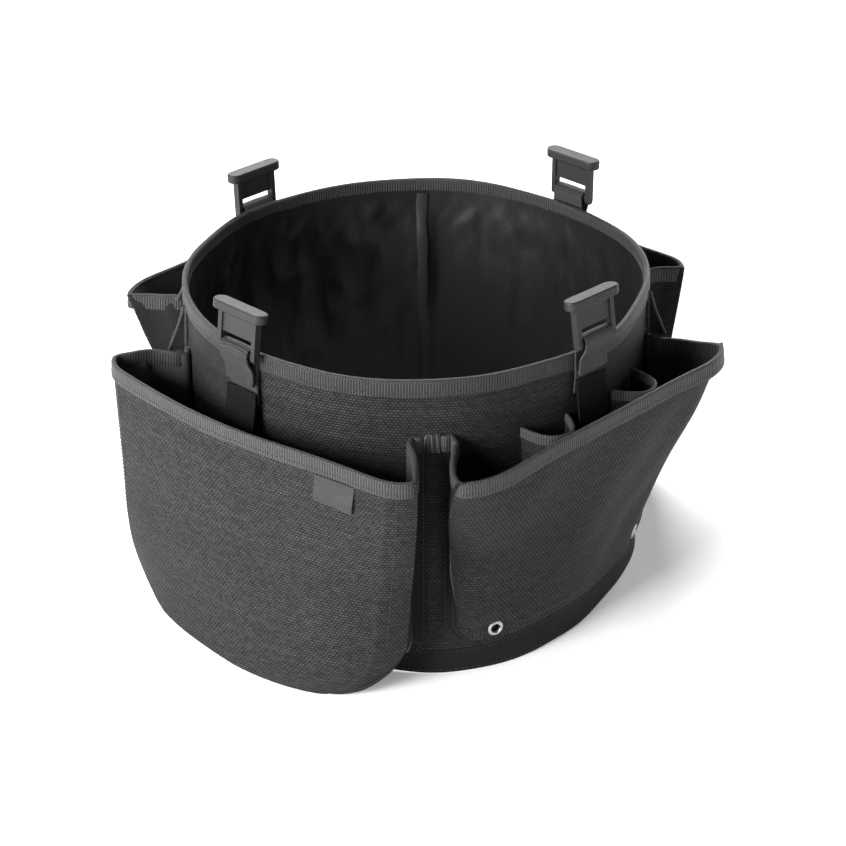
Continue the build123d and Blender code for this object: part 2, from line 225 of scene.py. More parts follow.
class Cloth:
    """Vertices and quads in mm that become one object with a metric UV map named cloth."""

    def __init__(self):
        self.verts, self.quads, self.uvs, self.sides, self.count = [], [], [], [], 0

    def add(self, points):
        index = self.count + np.arange(points[..., 0].size).reshape(points.shape[:-1])
        self.verts.append(points.reshape(-1, 3))
        self.count += index.size
        return index

    def faces(self, index, uv, flip=False, side=0, holes=None):
        corners = [(slice(0, -1), slice(0, -1)), (slice(1, None), slice(0, -1)),
                   (slice(1, None), slice(1, None)), (slice(0, -1), slice(1, None))]
        if flip:
            corners.reverse()
        keep = slice(None) if holes is None else ~holes.ravel()
        self.quads.append(np.stack([index[c] for c in corners], -1).reshape(-1, 4)[keep])
        self.uvs.append(np.stack([uv[c] for c in corners], -2).reshape(-1, 4, 2)[keep].reshape(-1, 2))
        self.sides.append(np.full(len(self.quads[-1]), side))

    def sheet(self, points, thickness, around=False, holes=None):
        """A closed cloth: its face at points, its back a thickness behind; holes marks quads left out."""
        back = points - normals(points, around) * thickness
        uv_points = np.concatenate([points, points[:1]]) if around else points
        uv = np.stack([lengths(uv_points, 0), lengths(uv_points, 1)], -1)
        face_index, back_index = self.add(points), self.add(back)
        if around:
            face_index = np.concatenate([face_index, face_index[:1]])
            back_index = np.concatenate([back_index, back_index[:1]])
        self.faces(face_index, uv, holes=holes)
        self.faces(back_index, uv, flip=True, side=1, holes=holes)
        if holes is not None:
            self.hole_walls(face_index, back_index, uv, holes)
        for row in (0, -1):
            hem = np.stack([face_index[:, row], back_index[:, row]], 1)
            self.faces(hem, np.stack([uv[:, row], uv[:, row]], 1), flip=row == 0)
            if not around:
                hem = np.stack([face_index[row], back_index[row]], 1)
                self.faces(hem, np.stack([uv[row], uv[row]], 1), flip=row == -1)
        return self

    def hole_walls(self, face_index, back_index, uv, holes):
        """Joins face and back all round each hole."""
        for i, j in np.argwhere(holes):
            ring = [(i, j), (i + 1, j), (i + 1, j + 1), (i, j + 1)]
            beyond = [(i, j - 1), (i + 1, j), (i, j + 1), (i - 1, j)]
            for start, end, other in zip(ring, ring[1:] + ring[:1], beyond):
                if not holes[other]:
                    wall = [[face_index[end], back_index[end]], [face_index[start], back_index[start]]]
                    at = np.array([[uv[end]] * 2, [uv[start]] * 2])
                    self.faces(np.array(wall), at, flip=True)

    def make(self, name, material, body="sleeve", replaces=(), slot=None, sharp=50, back=None):
        mesh = bpy.data.meshes.new(name)
        verts = np.concatenate(self.verts) * MM
        verts[:, 2] = np.maximum(verts[:, 2], 0.0)      # nothing goes below the floor
        quads = np.concatenate(self.quads)
        mesh.vertices.add(len(verts))
        mesh.vertices.foreach_set("co", verts.astype(np.float32).ravel())
        mesh.loops.add(quads.size)
        mesh.loops.foreach_set("vertex_index", quads.astype(np.int32).ravel())
        mesh.polygons.add(len(quads))
        mesh.polygons.foreach_set("loop_start", np.arange(0, quads.size, 4, dtype=np.int32))
        layer = mesh.uv_layers.new(name="cloth")
        layer.data.foreach_set("uv", (np.concatenate(self.uvs) * MM).astype(np.float32).ravel())
        mesh.update(calc_edges=True)
        mesh.validate()
        mesh.polygons.foreach_set("use_smooth", np.ones(len(mesh.polygons), bool))
        mesh.set_sharp_from_angle(angle=math.radians(sharp))
        mesh.materials.append(material)
        if back:
            mesh.materials.append(back)
            mesh.polygons.foreach_set("material_index", np.concatenate(self.sides).astype(np.int32))
        obj = bpy.data.objects.new(name, mesh)
        bpy.context.scene.collection.objects.link(obj)
        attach(obj, body)
        if replaces:
            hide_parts(*replaces)
        return obj


def declare_cloth(points, around=False):
    """Takes a piece's points and closes them if they go round; nothing more is done with them."""
    if around:
        points = np.concatenate([points, points[:1]])


def sewn(name, points, thickness, material, replaces=(), slot="woven_nylon", around=False,
         holes=None, declared=False, **more):
    """One layer of cloth or tape."""
    piece = Cloth().sheet(points, thickness, around, holes).make(
        name, MAT[material], replaces=replaces, slot=slot, **more)
    if declared:
        declare_cloth(points, around)


def outward(path):
    """Level directions square to a path, away from the sleeve."""
    return unit(np.cross(unit(np.gradient(path, axis=0)), (0.0, 0.0, 1.0)))


def tape_profile(half_gap, height, inner_height):
    """Binding tape folded over an edge, outside to inside: (out, up) from the edge's middle."""
    turn = np.linspace(0, math.pi, 9)
    over = np.stack([half_gap * np.cos(turn), half_gap * np.sin(turn) - half_gap + 0.2], 1)
    outside = np.stack([np.full(7, half_gap), np.linspace(-height, -half_gap - 0.2, 7)], 1)
    inside = np.stack([np.full(5, -half_gap), np.linspace(-half_gap - 0.2, -inner_height, 5)], 1)
    return np.concatenate([outside, over, inside])


def bound_edge(path, half_gap, height, seed, around=False):
    """The face of a tape that binds a cloth's top edge along a path."""
    if around:
        out = unit(np.cross(np.roll(path, -1, 0) - np.roll(path, 1, 0), (0.0, 0.0, 1.0)))
    else:
        out = outward(path)
    profile = tape_profile(half_gap, height, height - 1.0)
    run = run_along(path)[:, None]
    if around:
        run = run / run[-1] * round(run[-1, 0] / 60) * 60
    lift = 0.25 * np.sin(run * math.tau / 60 + seed) + 0.12 * np.sin(run * math.tau / 20 + 2 * seed)
    puff = 0.16 * np.sin(run * math.tau / 30 + 3 * seed)
    depth, rise = profile[None, :, 0], profile[None, :, 1]
    low = np.clip(-rise / height, 0, 1)
    depth = depth * (1 + puff * low * (1 - low) * 2)
    return (path[:, None] + out[:, None] * depth[..., None]
            + np.array([0.0, 0.0, 1.0]) * (rise + lift * low)[..., None])


def stitches(cloth, line, normal, pitch, length, radius):
    """A row of sewn stitches along a line that lies on a cloth's face."""
    run = run_along(line)
    centres = np.arange(pitch / 2, run[-1] - length / 2, pitch)

    def at(stations, values):
        return np.stack([np.interp(stations, run, values[:, k]) for k in range(3)], -1)

    spots = centres[:, None] + STITCH[:, 0] * length / 2
    out = unit(at(spots, normal))
    middle = at(spots, line) + out * STITCH[:, 1, None] * 2 * radius
    side = np.cross(out, unit(np.gradient(middle, axis=1)))
    turn = np.arange(STITCH_SIDES) * math.tau / STITCH_SIDES
    ring = (side[:, :, None] * np.cos(turn)[:, None] + out[:, :, None] * np.sin(turn)[:, None])
    index = cloth.add(middle[:, :, None] + ring * (radius * STITCH[:, 2])[:, None, None])
    for stitch in np.concatenate([index, index[..., :1]], -1):
        cloth.faces(stitch, np.zeros((*stitch.shape, 2)), flip=True)
        for end, flip in ((stitch[0], False), (stitch[-1], True)):
            cap = np.array([[end[0], end[1], end[2]], [end[5], end[4], end[3]]])
            cloth.faces(cap, np.zeros((2, 3, 2)), flip=flip)


def line_on(points, share, axis, lift=0.0, around=False):
    """A line along a cloth's face at a share of its other direction, with its normals."""
    normal = normals(points, around)
    place = share * (points.shape[axis] - 1)
    low = min(int(place), points.shape[axis] - 2)
    blend = place - low

    def pick(values):
        a, b = np.take(values, low, axis), np.take(values, low + 1, axis)
        return a + (b - a) * blend
    return pick(points) + pick(normal) * lift, pick(normal)


def sew(cloth, points, share, axis, gauge, lift=0.05, around=False):
    """A row of stitches at a share of a cloth's face."""
    line, normal = line_on(points, share, axis, lift, around)
    if around:
        line, normal = np.concatenate([line, line[:1]]), np.concatenate([normal, normal[:1]])
    stitches(cloth, line, normal, *gauge)


# ------------------------------------------------------------------ materials

class Shader:
    """A procedural material; patterns are built from the metric UV map."""

    def __init__(self, name, colour, roughness, specular=0.4, sheen=0.0, sheen_tint=None):
        self.material = bpy.data.materials.new(name)
        self.material.use_nodes = True
        self.tree = self.material.node_tree
        self.bsdf = self.tree.nodes["Principled BSDF"]
        self.colour = colour
        self.bsdf.inputs["Base Color"].default_value = (*colour, 1)
        self.bsdf.inputs["Roughness"].default_value = roughness
        self.bsdf.inputs["Specular IOR Level"].default_value = specular
        self.bsdf.inputs["Sheen Weight"].default_value = sheen
        self.bsdf.inputs["Sheen Roughness"].default_value = 0.5
        if sheen_tint:
            self.bsdf.inputs["Sheen Tint"].default_value = (*sheen_tint, 1)
        self.height = None

    def node(self, kind, **settings):
        node = self.tree.nodes.new(kind)
        for key, value in settings.items():
            setattr(node, key, value)
        return node

    def link(self, value, socket):
        if isinstance(value, bpy.types.NodeSocket):
            self.tree.links.new(value, socket)
        else:
            socket.default_value = value

    def math(self, operation, a, b=0.0):
        node = self.node("ShaderNodeMath", operation=operation)
        self.link(a, node.inputs[0])
        self.link(b, node.inputs[1])
        return node.outputs[0]

    def cloth_uv(self):
        split = self.node("ShaderNodeSeparateXYZ")
        self.tree.links.new(self.node("ShaderNodeUVMap", uv_map="cloth").outputs[0], split.inputs[0])
        return split.outputs[0], split.outputs[1]

    def wave(self, coordinate, pitch_mm):
        return self.math("COSINE", self.math("MULTIPLY", coordinate, math.tau / (pitch_mm * MM)))

    def noise(self, size_mm, detail=2.0, stretch=(1, 1, 1)):
        """Noise over the object's own space, 0 to 1."""
        where = self.node("ShaderNodeMapping")
        where.inputs["Scale"].default_value = [1 / (size_mm * MM * s) for s in stretch]
        place = self.node("ShaderNodeTexCoord").outputs["Object"]
        self.tree.links.new(place, where.inputs["Vector"])
        noise = self.node("ShaderNodeTexNoise")
        noise.inputs["Scale"].default_value = 1.0
        noise.inputs["Detail"].default_value = detail
        self.tree.links.new(where.outputs[0], noise.inputs["Vector"])
        return noise.outputs["Fac"]

    def thread_noise(self, u, v, pitch_u, pitch_v):
        """One random value for each crossing of the weave, 0 to 1."""
        cell = self.node("ShaderNodeCombineXYZ")
        self.link(self.math("FLOOR", self.math("DIVIDE", u, pitch_u * MM)), cell.inputs[0])
        self.link(self.math("FLOOR", self.math("DIVIDE", v, pitch_v * MM)), cell.inputs[1])
        white = self.node("ShaderNodeTexWhiteNoise", noise_dimensions="3D")
        self.tree.links.new(cell.outputs[0], white.inputs["Vector"])
        return white.outputs["Value"]

    def spread(self, value, low, high):
        node = self.node("ShaderNodeMapRange")
        self.link(value, node.inputs["Value"])
        node.inputs["To Min"].default_value = low
        node.inputs["To Max"].default_value = high
        return node.outputs[0]

    def spread_from(self, value, start, end, low, high):
        result = self.spread(value, low, high)
        result.node.inputs["From Min"].default_value = start
        result.node.inputs["From Max"].default_value = end
        return result

    def tint(self, *factors):
        """Base colour times these factors."""
        total = factors[0]
        for factor in factors[1:]:
            total = self.math("MULTIPLY", total, factor)
        scale = self.node("ShaderNodeVectorMath", operation="SCALE")
        scale.inputs[0].default_value = self.colour
        self.tree.links.new(total, scale.inputs["Scale"])
        self.tree.links.new(scale.outputs[0], self.bsdf.inputs["Base Color"])

    def bump(self, height, depth_mm, strength=1.0):
        bump = self.node("ShaderNodeBump")
        bump.inputs["Strength"].default_value = strength
        bump.inputs["Distance"].default_value = depth_mm * MM
        self.tree.links.new(height, bump.inputs["Height"])
        self.tree.links.new(bump.outputs[0], self.bsdf.inputs["Normal"])

    def rough(self, value, low, high):
        self.tree.links.new(self.spread(value, low, high), self.bsdf.inputs["Roughness"])


def plain_weave(name, colour, pitch=(2.7, 1.9), depth=0.3, relief_shade_range=(0.4, 2.3), sheen=0.03):
    """Coarse plain weave of filament yarn: rows of staggered oval bumps, no two quite alike."""
    s = Shader(name, colour, 0.55, specular=0.16, sheen=sheen)
    u, v = s.cloth_uv()
    row = s.math("FLOOR", s.math("DIVIDE", v, pitch[1] * MM))
    shifted = s.math("ADD", u, s.math("MULTIPLY", row, pitch[0] * MM / 2))
    across = s.spread_from(s.wave(s.math("ADD", v, pitch[1] * MM / 2), pitch[1]), -1, 1, 0.0, 1.0)
    along = s.spread_from(s.wave(shifted, pitch[0]), -1, 1, 0.2, 1.0)
    bumps = s.math("MULTIPLY", across, along)
    threads = s.thread_noise(shifted, v, pitch[0], pitch[1])
    rows = s.thread_noise(0.0, v, 1.0, pitch[1])
    broad = s.noise(35.0, 3.0)
    # painted shade and highlight: the first factor darkens the colour between the yarn bumps and lightens it
    # on their crowns, as light falls on the weave; the thread, row and broad factors are the yarns' own
    # uneven tone
    s.tint(s.spread(bumps, *relief_shade_range), s.spread(threads, 0.62, 1.38), s.spread(rows, 0.86, 1.14),
           s.spread(broad, 0.9, 1.1))
    s.rough(bumps, 0.75, 0.5)
    s.bump(s.math("ADD", bumps, s.math("MULTIPLY", threads, 0.25)), depth)
    return s.material


def twill(name, colour, pitch=1.9, depth=0.14, sheen=0.02):
    s = Shader(name, colour, 0.6, specular=0.12, sheen=sheen)
    u, v = s.cloth_uv()
    diagonal = s.wave(s.math("ADD", u, v), pitch)
    fine = s.math("MULTIPLY", s.wave(u, pitch * 0.7), s.wave(v, pitch * 0.7))
    ridge = s.math("ADD", diagonal, s.math("MULTIPLY", fine, 0.6))
    threads = s.thread_noise(u, v, pitch / 2, pitch / 2)
    # painted shade and highlight: the first factor darkens the colour in the furrows between the twill
    # ridges and lightens it on their tops; the thread and noise factors are uneven yarn tone
    s.tint(s.spread(s.math("ADD", s.math("MULTIPLY", ridge, 0.3), 0.5), 0.5, 1.45),
           s.spread(threads, 0.78, 1.22), s.spread(s.noise(30.0), 0.88, 1.12))
    s.bump(ridge, depth)
    return s.material


def grosgrain(name, colour, pitch=1.9, depth=0.35, sheen=0.06):
    """Binding tape: close ribs across the tape with fine threads over them."""
    s = Shader(name, colour, 0.5, specular=0.25, sheen=sheen)
    u, v = s.cloth_uv()
    rib = s.math("ABSOLUTE", s.wave(u, pitch * 2))
    fine = s.wave(v, 0.9)
    threads = s.thread_noise(u, v, pitch / 2, 0.9)
    # painted shade and highlight: the first factor darkens the colour between the ribs and lightens it on
    # their tops; the thread and noise factors are uneven yarn tone
    s.tint(s.spread(rib, 0.3, 1.45), s.spread(threads, 0.82, 1.18), s.spread(s.noise(25.0), 0.9, 1.1))
    s.rough(rib, 0.65, 0.42)
    s.bump(s.math("ADD", rib, s.math("MULTIPLY", fine, 0.12)), depth)
    return s.material


def webbing(name, colour):
    s = Shader(name, colour, 0.5, specular=0.22, sheen=0.06)
    u, v = s.cloth_uv()
    rib = s.math("ABSOLUTE", s.wave(u, 2.6))
    weft = s.wave(s.math("ADD", v, s.math("MULTIPLY", rib, 0.0005)), 1.5)
    height = s.math("ADD", rib, s.math("MULTIPLY", weft, 0.35))
    # painted shade and highlight: the rib factor darkens the colour between the ribs and lightens it on
    # their tops; the thread factor is uneven yarn tone
    s.tint(s.spread(rib, 0.6, 1.2), s.spread(s.thread_noise(u, v, 1.3, 1.5), 0.82, 1.18))
    s.bump(height, 0.35)
    return s.material


def fuzzy(name, colour):
    """Loop tape: a mat of tiny curled threads."""
    s = Shader(name, colour, 0.95, specular=0.05, sheen=0.04)
    fine, coarse = s.noise(0.45, 5.0), s.noise(3.0, 3.0)
    # painted shade and highlight: the fine factor, the same noise as the bump, darkens the colour in the
    # pile's hollows and lightens it on the loop tips; the coarse factor is uneven tone
    s.tint(s.spread(fine, 0.2, 1.9), s.spread(coarse, 0.6, 1.4))
    s.bump(fine, 0.8)
    return s.material


def slick(name, colour, roughness=0.36):
    """Coated lining: a tight sheen with fine creases."""
    s = Shader(name, colour, roughness, specular=0.44)
    u, v = s.cloth_uv()
    fine = s.math("MULTIPLY", s.wave(u, 0.7), s.wave(v, 0.7))
    creases = s.noise(9.0, 4.0, stretch=(1, 1, 2.2))
    # painted shade and highlight: the fine factor darkens the colour in the fine weave's hollows and
    # lightens it on its tops; the broad noise is uneven tone
    s.tint(s.spread(fine, 0.9, 1.1), s.spread(s.noise(40.0), 0.85, 1.15))
    s.rough(creases, roughness - 0.06, roughness + 0.1)
    s.bump(s.math("ADD", s.math("MULTIPLY", fine, 0.02), creases), 1.1, 0.5)
    return s.material


def moulded(name, colour):
    """Filled nylon with a fine spark-eroded grain; its edges shade as if slightly rounded."""
    s = Shader(name, colour, 0.5, specular=0.28)
    grain = s.noise(0.35, 3.0)
    # painted shade and highlight: the grain factor, the same noise as the bump, darkens the colour in the
    # grain's pits and lightens it on its tops; the broad noise is uneven tone
    s.tint(s.spread(s.noise(12.0), 0.9, 1.1), s.spread(grain, 0.92, 1.08))
    s.rough(s.noise(6.0), 0.42, 0.56)
    edge = s.node("ShaderNodeBevel", samples=4)
    edge.inputs["Radius"].default_value = 0.5 * MM
    bump = s.node("ShaderNodeBump")
    bump.inputs["Strength"].default_value = 0.35
    bump.inputs["Distance"].default_value = 0.12 * MM
    s.tree.links.new(grain, bump.inputs["Height"])
    s.tree.links.new(edge.outputs[0], bump.inputs["Normal"])
    s.tree.links.new(bump.outputs[0], s.bsdf.inputs["Normal"])
    return s.material


def metal(name, colour):
    s = Shader(name, colour, 0.34)
    s.bsdf.inputs["Metallic"].default_value = 1.0
    s.tint(s.spread(s.noise(4.0), 0.8, 1.1))
    s.rough(s.noise(1.5), 0.26, 0.44)
    s.bump(s.noise(0.8), 0.05, 0.4)
    return s.material


def thread(name, colour):
    s = Shader(name, colour, 0.55, specular=0.4, sheen=0.2)
    s.tint(s.spread(s.noise(1.0), 0.8, 1.2))
    s.bump(s.noise(0.3), 0.08)
    return s.material


MAT = {
    "wall": plain_weave("wall_weave", (0.0135, 0.0135, 0.0138)),
    "panel": plain_weave("panel_weave", (0.0155, 0.0155, 0.0158)),
    "twill": twill("gusset_twill", (0.0105, 0.0105, 0.0108)),
    "coating": slick("coated_back", (0.045, 0.045, 0.046), roughness=0.5),
    "lining": plain_weave("cell_cloth", (0.010, 0.010, 0.0102)),
    "band": twill("band_cloth", (0.007, 0.007, 0.0072), pitch=1.2, depth=0.12),
    "tape": grosgrain("binding_tape", (0.031, 0.031, 0.032)),
    "rim": grosgrain("rim_tape", (0.020, 0.020, 0.0205)),
    "web": webbing("strap_webbing", (0.021, 0.021, 0.0215)),
    "loop": fuzzy("loop_tape", (0.0035, 0.0035, 0.0036)),
    "seam": slick("seam_cloth", (0.016, 0.016, 0.0165), roughness=0.42),
    "liner": slick("slick_lining", (0.0075, 0.0075, 0.0077)),
    "hook": moulded("hook_nylon", (0.016, 0.0163, 0.017)),
    "eyelet": metal("eyelet_metal", (0.5, 0.5, 0.51)),
    "label": grosgrain("label_ribbon", (0.027, 0.027, 0.028), pitch=0.6, depth=0.08, sheen=0.02),
    "thread": thread("sewing_thread", (0.006, 0.006, 0.0061)),
}


# ------------------------------------------------------------------ sleeve

def sleeve_points(radius, azimuths, heights):
    a = np.radians(azimuths)[:, None]
    z = np.asarray(heights, float)[None, :] + 0 * a
    return np.stack([radius * np.cos(a) + 0 * z, radius * np.sin(a) + 0 * z, z], -1)


def make_wall():
    azimuths = np.arange(0, 360, 1.0)
    points = sleeve_points(BODY_R - 0.2, azimuths, np.linspace(BAND_TOP - 2, SLEEVE_TOP - 1, 60))
    cloth_u = np.radians(azimuths)[:, None] * BODY_R
    sag = ripples(cloth_u, points[..., 2], SEED, 8, 190, 60)
    edge = smooth((SLEEVE_TOP - points[..., 2]) / 30) * smooth((points[..., 2] - BAND_TOP) / 30)
    close = smooth(np.abs((azimuths[:, None] + 180) % 360 - 180) / 8)
    bulge = 0.5 * sag * edge * close
    points[..., :2] *= (1 - np.maximum(bulge, 0) / BODY_R)[..., None]
    sewn("sleeve_wall_cloth", settle(points), WALL_T, "wall", ["sleeve_wall"], around=True, declared=True)


def make_band():
    azimuths = np.arange(0, 360, 1.0)
    heights = np.linspace(0, 1, 12)
    a = np.radians(azimuths)[:, None]
    hem = 0.5 + 0.5 * np.sin(7 * a + 0.6) * np.sin(3 * a) + 0.3 * np.sin(17 * a)
    z = 0.4 + 1.2 * np.clip(hem, 0, 2) * (1 - heights) + (BAND_TOP - 0.4) * heights
    out = BODY_R - 0.1 + 0.5 * np.sin(math.pi * heights) * np.sin(9 * a) * 0.8
    points = settle(np.stack([out * np.cos(a), out * np.sin(a), z], -1))
    sewn("bottom_band_cloth", points, BAND_T, "band", ["bottom_band"], "band_fabric", around=True,
         declared=True)
    seam = Cloth()
    for share in (0.12, 0.9):
        sew(seam, points, share, 1, BAND_GAUGE, 0.1, around=True)
    seam.make("bottom_band_stitching", MAT["thread"])


def make_rim():
    azimuths = np.arange(0, 360, 0.5)
    path = sleeve_points(BODY_R - 1.0, azimuths, [SLEEVE_TOP - 0.4])[:, 0]
    a = np.radians(azimuths)
    path[:, 2] += 0.35 * np.sin(5 * a + 1) + 0.25 * np.sin(11 * a)
    points = settle(bound_edge(path, 2.0, RIM_TAPE_H - 0.4, 1.3, around=True))
    sewn("rim_tape", points, TAPE_T, "rim", ["rim_binding"], "binding_tape", around=True)
    seam = Cloth()
    for share in (0.085, 0.93):
        sew(seam, points, share, 1, RIM_GAUGE, around=True)
    seam.make("rim_stitching", MAT["thread"])


def liner_wrinkles(u, z):
    """How far the loose lining stands off the wall, in mm."""
    tall = ripples(u, z * 0.35, SEED + 1, 9, 70, 26)
    slanted = ripples(u + 0.8 * z, z, SEED + 2, 8, 90, 30)
    small = ripples(u, z * 0.6, SEED + 3, 8, 22, 9)
    near_rim = smooth((z - 150) / 50)
    folds = 1.5 * np.maximum(tall, 0) + 1.4 * np.abs(slanted) + 0.6 * small * near_rim
    hold = smooth((SLEEVE_TOP - RIM_TAPE_H - z) / 22) * smooth((z - BAND_TOP) / 16)
    return np.maximum(folds, 0) * (0.15 + 0.85 * hold)


def seam_ridge(u, z):
    """The lining stands off the wall along its joint: steep on one side, easy on the other."""
    height = 5.5 * smooth((SLEEVE_TOP - 16 - z) / 30) * (0.75 + 0.25 * np.sin(z / 17))
    steep = 1 - smooth((math.tau * BORE_R - u) / 13)
    easy = 1 - smooth(u / 34)
    return height * np.maximum(steep, easy)


def make_liner():
    azimuths = np.arange(0, 360, 0.75)
    points = sleeve_points(1.0, azimuths, np.linspace(BAND_TOP - 4, SLEEVE_TOP - RIM_TAPE_H + 3, 80))
    u = np.radians((azimuths[:, None] - SEAM_AZIMUTH) % 360) * BORE_R
    span = math.tau * BORE_R
    fade = smooth(u / 14) * smooth((span - u) / 14)
    calm = 1 - 0.45 * smooth((u - 0.72 * span) / 60)
    radius = BORE_R - 0.4 - liner_wrinkles(u, points[..., 2]) * fade * calm - seam_ridge(u, points[..., 2])
    points[..., :2] *= radius[..., None]
    sewn("slick_liner", settle(points)[::-1], LINER_T, "liner", ["liner"], "slick_liner", around=True,
         declared=True, sharp=80)
    rows = np.linspace(BAND_TOP, SLEEVE_TOP - RIM_TAPE_H + 1, 90)
    strip = sleeve_points(1.0, SEAM_AZIMUTH + np.linspace(-1.4, 1.4, 11), rows)[::-1]
    bow = np.linspace(-1, 1, 11)[:, None]
    strip[..., :2] *= (BORE_R - 1.5 - seam_ridge(0.0, rows[None]) - 0.5 * (1 - bow ** 2))[..., None]
    strip[..., 0] += 1.1 * np.sin(rows / 37) + 0.5 * np.sin(rows / 11) + 0.3 * bow * np.sin(rows / 5)
    sewn("liner_seam_binding", settle(strip), TAPE_T, "seam", ["liner_seam_tape"], "binding_tape")


# ------------------------------------------------------------------ pockets

def arc_radius(middle, corner, half):
    bow = middle - corner
    return (half ** 2 + bow ** 2) / (2 * bow)


def panel_x(kind, top, y, z):
    foot, mouth, foot_z = OUTLINES[kind]
    ends = []
    for middle, corner, half in (foot, mouth):
        radius = arc_radius(middle, corner, half)
        ends.append(middle - radius + np.sqrt(np.maximum(radius ** 2 - y ** 2, 1.0)))
    share = (z - foot_z) / (top - foot_z)
    return ends[0] + (ends[1] - ends[0]) * share


def side_y(x, root_angle):
    root_x = BODY_R * math.cos(math.radians(root_angle))
    root_y = BODY_R * math.sin(math.radians(root_angle))
    return root_y + (HALF_W - root_y) * (x - root_x) / (CORNER_X - root_x)


def wall_outline(kind, top, root_angle, inset_side, inset_foot, counts):
    """Where a pocket is sewn to the sleeve: down one side, along the foot, up the other."""
    _, _, foot_z, corner = FLANGES[kind]
    corner = max(corner - inset_side, 6.0)
    half = math.radians(root_angle) * BODY_R - inset_side
    low = foot_z + inset_foot
    down, bend, along = counts
    phi = np.linspace(0, math.pi / 2, bend + 2)[1:-1]
    z_side = np.linspace(top, low + corner, down)
    y = np.concatenate([np.full(down, -half), -(half - corner + corner * np.cos(phi)),
                        np.linspace(-(half - corner), half - corner, along)])
    z = np.concatenate([z_side, low + corner - corner * np.sin(phi), np.full(along, low)])
    y = np.concatenate([y, -y[:down + bend][::-1]])
    z = np.concatenate([z, z[:down + bend][::-1]])
    angle = y / BODY_R
    radius = BODY_R + 0.8
    return np.stack([radius * np.cos(angle), radius * np.sin(angle), z], -1)


def box_outline(kind, top, root_angle, counts):
    """The edge of a box pocket's panel, at the same stations as wall_outline."""
    down, bend, along = counts
    phi = np.linspace(0, math.pi / 2, bend + 2)[1:-1]
    lateral = np.concatenate([np.full(down, -1.0), np.full(bend, -1.0), np.linspace(-1, 1, along)])
    offset = np.concatenate([np.full(down, -BOX_ROUND), -BOX_ROUND * np.cos(phi), np.zeros(along)])
    z = np.concatenate([np.linspace(top, BOX_ROUND, down), BOX_ROUND - BOX_ROUND * np.sin(phi),
                        np.zeros(along)])
    lateral = np.concatenate([lateral, -lateral[:down + bend][::-1]])
    offset = np.concatenate([offset, -offset[:down + bend][::-1]])
    z = np.concatenate([z, z[:down + bend][::-1]])
    x = np.full_like(z, 185.0)
    for _ in range(30):
        y = lateral * (side_y(x, root_angle) - BOX_ROUND) + offset
        x = panel_x(kind, top, y, z)
    return np.stack([x, y, z], -1)


def flared_foot(y_share, root_angle):
    """Height of a flared panel's lower edge: its corners are rounded."""
    side, foot, foot_z, corner = FLANGES["flared"]
    half = math.radians(root_angle) * BODY_R - side
    corner = corner - side
    over = np.maximum(np.abs(y_share) * half - (half - corner), 0)
    return foot_z + foot + corner - np.sqrt(np.maximum(corner ** 2 - over ** 2, 0))


def panel_grid(kind, top, root_angle, columns=141, rows=90):
    """The face of a panel, u from left to right and v from foot to mouth."""
    u = np.linspace(-1, 1, columns)
    u = np.sign(u) * (1 - (1 - np.abs(u)) ** 1.35)
    u = u[:, None]
    if kind == "box":
        turn = np.linspace(0, math.pi / 2, rows // 3)
        z = np.concatenate([BOX_ROUND * (1 - np.cos(turn))[:-1], np.linspace(BOX_ROUND, top, rows)])
        z = z[None] + 0 * u
        drop = np.clip((BOX_ROUND - z) / BOX_ROUND, 0, 1)
        cut = BOX_ROUND * (1 - np.sqrt(1 - drop ** 2))
    else:
        low = flared_foot(u, root_angle)
        share = np.linspace(0, 1, rows)[None]
        z = low + (top - low) * share
        cut = FLANGES[kind][0] * (1 - share) ** 1.5 + 0 * u
    x = np.full_like(z, 180.0)
    for _ in range(30):
        y = u * (side_y(x, root_angle) - cut)
        x = panel_x(kind, top, y, z)
    return np.stack([x, y, z], -1), u


def shaped_panel(name):
    """The panel as the cloth hangs: rolled edges, a soft crown, shallow folds."""
    kind, azimuth, top, root_angle = POCKETS[name]
    points, u = panel_grid(kind, top, root_angle)
    seed = SEED + 10 + list(POCKETS).index(name)
    x, y, z = np.moveaxis(points, -1, 0)
    to_side = (1 - np.abs(u)) * np.abs(side_y(x, root_angle))
    to_edge = np.minimum(to_side, z + 0.25 * to_side) if kind == "box" else to_side
    depth, width = SIDE_ROLLS[kind]
    roll = depth * (1 - np.clip(to_side / width, 0, 1)) ** 2
    if kind == "flared":
        roll = roll * smooth((z - 26) / 60)
    else:
        roll = np.maximum(roll, FOOT_ROLL * (1 - smooth(to_edge / FOOT_ROLL_W)) ** 2)
        roll = roll - WELT * np.exp(-((to_side - WELT_IN) / WELT_W) ** 2)
    body = smooth(to_edge / 40) * smooth((top - z) / 30)
    fold = 1.1 * ripples(y, z, seed, 8, 200, 70)
    if kind == "flared":
        lean = smooth((z - 18) / 60)
        fold = fold + 0.9 * ripples(y - 0.9 * (z - 20), z * 0.3, seed + 50, 7, 90, 40) * lean
        x = x - 1.5 * smooth((top - z) / 90) * lean
    x = x - roll + fold * body * 0.8
    return np.stack([x, y, z], -1)


def hang(name, points):
    """Moves a pocket's outer parts off their cut the way loose cloth hangs; what is sewn on stays."""
    loose = smooth((np.hypot(points[..., 0], points[..., 1]) - BODY_R - 1) / 30)
    moved = points.copy()
    for middle, reach, move in HANG[name]:
        away = (((points[..., 1:] - middle) / reach) ** 2).sum(-1)
        moved += (loose * np.exp(-away))[..., None] * np.array(move)
    moved[..., 2] += 0.6 * (1 - smooth(points[..., 2] / 8))
    return moved


def placed(name, points):
    """A pocket's points as they hang, in their place round the sleeve."""
    return settle(turned(hang(name, points), POCKETS[name][1]))


